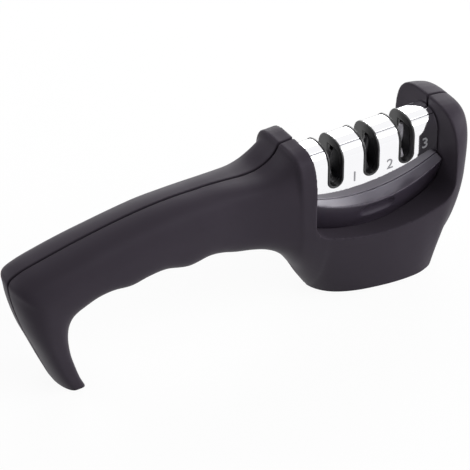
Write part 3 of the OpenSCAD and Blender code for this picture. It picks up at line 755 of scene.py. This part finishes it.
def groundScratches():
    # straight fine scratches along one direction, as grinding or drawing leaves them
    tree, given, out = makeGroup("groundScratches", [
        ("Fineness", "NodeSocketFloat", 900.0), ("Stretch", "NodeSocketVector", (0.04, 1, 1))],
        [("Height", "NodeSocketFloat")])
    place = tree.nodes.new("ShaderNodeTexCoord")
    stretch = tree.nodes.new("ShaderNodeMapping")
    lines = noiseNode(tree, detail=4, roughness=0.6)
    tree.links.new(place.outputs["Object"], stretch.inputs["Vector"])
    tree.links.new(given.outputs["Stretch"], stretch.inputs["Scale"])
    tree.links.new(stretch.outputs["Vector"], lines.inputs["Vector"])
    tree.links.new(given.outputs["Fineness"], lines.inputs["Scale"])
    tree.links.new(lines.outputs["Fac"], out.inputs["Height"])
    return tree


grainGroup, sheenGroup, scratchGroup = mouldedGrain(), handlingSheen(), groundScratches()


def placeGroup(tree, group, **values):
    node = tree.nodes.new("ShaderNodeGroup")
    node.node_tree = group
    for key, value in values.items():
        node.inputs[key].default_value = value
    return node


def startMaterial(name, **sockets):
    material = bpy.data.materials.new(name)
    material.use_nodes = True
    tree = material.node_tree
    shader = tree.nodes["Principled BSDF"]
    for key, value in sockets.items():
        shader.inputs[key].default_value = value
    return material, tree, shader


def colourMix(tree, factor, dark, light, shader):
    mix = tree.nodes.new("ShaderNodeMix")
    mix.data_type = "RGBA"
    mix.inputs["A"].default_value = (*dark, 1)
    mix.inputs["B"].default_value = (*light, 1)
    tree.links.new(factor, mix.inputs["Factor"])
    tree.links.new(mix.outputs["Result"], shader.inputs["Base Color"])


def addBump(tree, height, shader, strength, distance):
    bump = tree.nodes.new("ShaderNodeBump")
    bump.inputs["Strength"].default_value = strength
    bump.inputs["Distance"].default_value = distance
    tree.links.new(height, bump.inputs["Height"])
    tree.links.new(bump.outputs["Normal"], shader.inputs["Normal"])


def wearSurface(tree, shader, look):
    # colour and roughness that plastic and metal have alike; gives back the grain
    grain = placeGroup(tree, grainGroup, **{"Grain Size": look["grain"], "Unevenness": 1.0})
    sheen = placeGroup(tree, sheenGroup, **{"Roughness": look["roughness"],
                                            "Amount": look["variation"],
                                            "Size": look["patchSize"]})
    colourMix(tree, grain.outputs["Patch"], look["dark"], look["light"], shader)
    tree.links.new(sheen.outputs["Roughness"], shader.inputs["Roughness"])
    return grain


def plasticFinish(name, look):
    material, tree, shader = startMaterial(name, **{
        "Specular IOR Level": look["specular"],
        "Specular Tint": (*look.get("tint", (1, 1, 1)), 1)})
    grain = wearSurface(tree, shader, look)
    addBump(tree, grain.outputs["Height"], shader, look["bump"], look["depth"])
    return material


def metalFinish(name, look):
    material, tree, shader = startMaterial(name, Metallic=1.0)
    wearSurface(tree, shader, look)
    scratch = placeGroup(tree, scratchGroup, Fineness=look["fineness"],
                         Stretch=look["stretch"])
    addBump(tree, scratch.outputs["Height"], shader, look["bump"], look["depth"])
    return material


def shadeCreases(material, look):
    # painted shade: the base colour is turned grey in a thin line along each crease of the
    # cover, standing in for the dark reflection in the rolled groove
    tree = material.node_tree
    shader = tree.nodes["Principled BSDF"]
    plated = shader.inputs["Base Color"].links[0].from_socket
    place = tree.nodes.new("ShaderNodeTexCoord")
    split = tree.nodes.new("ShaderNodeSeparateXYZ")
    tree.links.new(place.outputs["Object"], split.inputs["Vector"])
    aside = mathNode(tree, "ABSOLUTE", split.outputs["Y"])
    away = mathNode(tree, "ABSOLUTE",
                    mathNode(tree, "SUBTRACT", aside, coverForm["creaseWidth"] / 2 * mm))
    # the painted crease shade covers a band as wide as the groove on each side of the crease,
    # only high on the crown
    near = mathNode(tree, "LESS_THAN", away, coverForm["creaseGroove"] * mm)
    high = mathNode(tree, "GREATER_THAN", split.outputs["Z"],
                    (coverForm["height"] - 2 * coverForm["crownRise"]) * mm)
    mix = tree.nodes.new("ShaderNodeMix")
    mix.data_type = "RGBA"
    tree.links.new(plated, mix.inputs["A"])
    mix.inputs["B"].default_value = (*look["crease"], 1)
    tree.links.new(mathNode(tree, "MULTIPLY", near, high), mix.inputs["Factor"])
    tree.links.new(mix.outputs["Result"], shader.inputs["Base Color"])


softBlackLook = {"dark": (0.0375, 0.0315, 0.0408), "light": (0.0456, 0.0383, 0.0496),
                 "specular": 0.05, "tint": (0.88, 0.84, 1.0), "roughness": 0.42,
                 "variation": 0.06, "patchSize": 30.0, "grain": 2600.0, "bump": 0.12,
                 "depth": 0.00006}
glossBlackLook = {"dark": (0.0370, 0.0295, 0.0430), "light": (0.0450, 0.0365, 0.0520),
                  "specular": 0.5, "tint": (0.93, 0.90, 1.0), "roughness": 0.33,
                  "variation": 0.05, "patchSize": 60.0, "grain": 1500.0, "bump": 0.02,
                  "depth": 0.00003}
frameLook = {"dark": (0.012, 0.0118, 0.013), "light": (0.016, 0.0155, 0.0175),
             "specular": 0.5, "roughness": 0.3, "variation": 0.05, "patchSize": 60.0,
             "grain": 2200.0, "bump": 0.05, "depth": 0.00004}
numeralLook = {"dark": (0.30, 0.30, 0.32), "light": (0.36, 0.36, 0.38), "specular": 0.4,
               "roughness": 0.45, "variation": 0.05, "patchSize": 60.0, "grain": 3000.0,
               "bump": 0.05, "depth": 0.00003}
rubberLook = {"dark": (0.010, 0.010, 0.011), "light": (0.017, 0.017, 0.018),
              "specular": 0.25, "roughness": 0.75, "variation": 0.1, "patchSize": 30.0,
              "grain": 1400.0, "bump": 0.4, "depth": 0.0001}
ceramicLook = {"dark": (0.70, 0.68, 0.74), "light": (0.82, 0.80, 0.86), "specular": 0.5,
               "roughness": 0.35, "variation": 0.06, "patchSize": 80.0, "grain": 5000.0,
               "bump": 0.08, "depth": 0.00003}
gritLook = {"dark": (0.035, 0.034, 0.038), "light": (0.075, 0.072, 0.08), "specular": 0.6,
            "roughness": 0.42, "variation": 0.15, "patchSize": 200.0, "grain": 9000.0,
            "bump": 0.6, "depth": 0.00005}
# the crease colour of the chrome look is painted shade, laid in a thin grey line along each
# crease of the cover
chromeLook = {"dark": (0.925, 0.925, 0.945), "light": (0.955, 0.955, 0.97),
              "crease": (0.30, 0.30, 0.32), "roughness": 0.05, "variation": 0.02,
              "patchSize": 60.0, "grain": 900.0, "fineness": 500.0,
              "stretch": (0.3, 1, 1), "bump": 0.012, "depth": 0.00002}
steelLook = {"dark": (0.50, 0.50, 0.52), "light": (0.60, 0.60, 0.61), "roughness": 0.3,
             "variation": 0.1, "patchSize": 60.0, "grain": 900.0, "fineness": 1500.0,
             "stretch": (0.2, 1, 1), "bump": 0.08, "depth": 0.00003}
carbideLook = {"dark": (0.36, 0.355, 0.37), "light": (0.46, 0.455, 0.47),
               "roughness": 0.24, "variation": 0.08, "patchSize": 60.0, "grain": 900.0,
               "fineness": 2400.0, "stretch": (1, 0.06, 1), "bump": 0.15, "depth": 0.00003}
softBlack = plasticFinish("softBlack", softBlackLook)
glossBlack = plasticFinish("glossBlack", glossBlackLook)
frameBlack = plasticFinish("frameBlack", frameLook)
footRubber = plasticFinish("footRubber", rubberLook)
numeralGrey = plasticFinish("numeralGrey", numeralLook)
rodCeramic = plasticFinish("rodCeramic", ceramicLook)
rodGrit = plasticFinish("rodGrit", gritLook)
chromePlate = metalFinish("chromePlate", chromeLook)
shadeCreases(chromePlate, chromeLook)
screwSteel = metalFinish("screwSteel", steelLook)
bladeCarbide = metalFinish("bladeCarbide", carbideLook)
print("finishes made")

finishPiece(nearShell, "body", softBlack, "soft_black", "near_shell")
finishPiece(farShell, "body", softBlack, "soft_black", "far_shell")
finishPiece(housingShape, "cartridge", glossBlack, "gloss_black", "cartridge_housing")
finishPiece(coverShape, "cartridge", chromePlate, "chrome", "chrome_cover")
finishPiece(frameShape, "cartridge", frameBlack, "gloss_black", "slot_frame")
finishPiece(numeralShape, "cartridge", numeralGrey, "steel")
cadFinishes = {"base_plate": softBlack, "foot_pad": footRubber, "base_screws": screwSteel,
               "shell_screws": screwSteel, "cartridge_base": glossBlack,
               "cartridge_screws": screwSteel, "coarse_holder": frameBlack,
               "medium_holder": frameBlack, "fine_holder": frameBlack,
               "carbide_blade_left": bladeCarbide, "carbide_blade_right": bladeCarbide,
               "diamond_rod_left": rodGrit, "diamond_rod_right": rodGrit,
               "ceramic_rod_left": rodCeramic, "ceramic_rod_right": rodCeramic}
for node, material in cadFinishes.items():
    coat(cadNodes[node], material)


# ---- table, light and camera ----

studio = {"floorSize": 8, "floorColour": (0.90, 0.90, 0.905), "floorRoughness": 0.8,
          "floorSpecular": 0.1, "floorLift": 0.93, "worldLevel": 0.22,
          "lampAim": (-0.05, 0, 0.03)}
softboxes = {"keyBox": {"place": (0.35, -0.8, 1.0), "power": 5.6, "size": 0.7},
             "fillBox": {"place": (0.8, -0.3, 0.35), "power": 8.2, "size": 0.7},
             "backBox": {"place": (0.58, 0.97, 0.5), "power": 10.0, "size": 0.95},
             "sideBox": {"place": (-0.68, 0.83, 0.48), "power": 5.0, "size": 0.8}}
viewpoint = {"place": (-459.0, -657.2, 601.1), "ahead": (0.41869, 0.68863, -0.59201),
             "up": (0.30756, 0.50585, 0.80592), "lens": 193.02, "sensor": 36,
             "nearest": 0.01, "farthest": 50}

bpy.ops.object.select_all(action="DESELECT")
bpy.ops.mesh.primitive_plane_add(size=studio["floorSize"], location=(0, 0, 0))
table = bpy.context.object
table.name = "tableTop"


def viewRays(tree):
    # 1 for what the camera sees, straight or by gloss or glass, and 0 for light on the object
    rays = tree.nodes.new("ShaderNodeLightPath")
    return mathNode(tree, "MAXIMUM", rays.outputs["Is Camera Ray"],
                    mathNode(tree, "MAXIMUM", rays.outputs["Is Glossy Ray"],
                             rays.outputs["Is Transmission Ray"]))


def blendShaders(tree, factor, first, second, surface):
    blend = tree.nodes.new("ShaderNodeMixShader")
    tree.links.new(factor, blend.inputs["Fac"])
    tree.links.new(first, blend.inputs[1])
    tree.links.new(second, blend.inputs[2])
    tree.links.new(blend.outputs["Shader"], surface)


def tableFinish():
    # a lit floor that keeps the shadow, lifted towards white in the picture alone
    material, tree, shader = startMaterial("paleTable", **{
        "Base Color": (*studio["floorColour"], 1), "Roughness": studio["floorRoughness"],
        "Specular IOR Level": studio["floorSpecular"]})
    lift = tree.nodes.new("ShaderNodeEmission")
    lift.inputs["Color"].default_value = (1, 1, 1, 1)
    lift.inputs["Strength"].default_value = 1.0
    blendShaders(tree, mathNode(tree, "MULTIPLY", viewRays(tree), studio["floorLift"]),
                 shader.outputs["BSDF"], lift.outputs["Emission"],
                 tree.nodes["Material Output"].inputs["Surface"])
    return material


table.data.materials.append(tableFinish())

world = bpy.data.worlds.new("whiteStudio")
bpy.context.scene.world = world
world.use_nodes = True
worldTree = world.node_tree
plain = worldTree.nodes["Background"]
plain.inputs["Color"].default_value = (1, 1, 1, 1)
plain.inputs["Strength"].default_value = studio["worldLevel"]
white = worldTree.nodes.new("ShaderNodeBackground")
white.inputs["Color"].default_value = (1, 1, 1, 1)
white.inputs["Strength"].default_value = 1.0
blendShaders(worldTree, viewRays(worldTree), plain.outputs["Background"],
             white.outputs["Background"], worldTree.nodes["World Output"].inputs["Surface"])

for name, form in softboxes.items():
    bpy.ops.object.light_add(type="AREA", location=form["place"])
    lamp = bpy.context.object
    lamp.name = name
    lamp.data.energy = form["power"]
    lamp.data.size = form["size"]
    aim = Vector(studio["lampAim"]) - Vector(form["place"])
    lamp.rotation_euler = aim.to_track_quat("-Z", "Y").to_euler()

ahead, up = Vector(viewpoint["ahead"]).normalized(), Vector(viewpoint["up"]).normalized()
right = ahead.cross(up).normalized()
up = right.cross(ahead)
bpy.ops.object.camera_add()
camera = bpy.context.object
camera.name = "photoCamera"
camera.matrix_world = Matrix.Translation(Vector(viewpoint["place"]) * mm) @ Matrix(
    (right, up, -ahead)).transposed().to_4x4()
camera.data.lens = viewpoint["lens"]
camera.data.sensor_width = viewpoint["sensor"]
camera.data.clip_start, camera.data.clip_end = viewpoint["nearest"], viewpoint["farthest"]
bpy.context.scene.camera = camera
bpy.context.scene.view_settings.view_transform = "Standard"
print("table, light and camera placed")
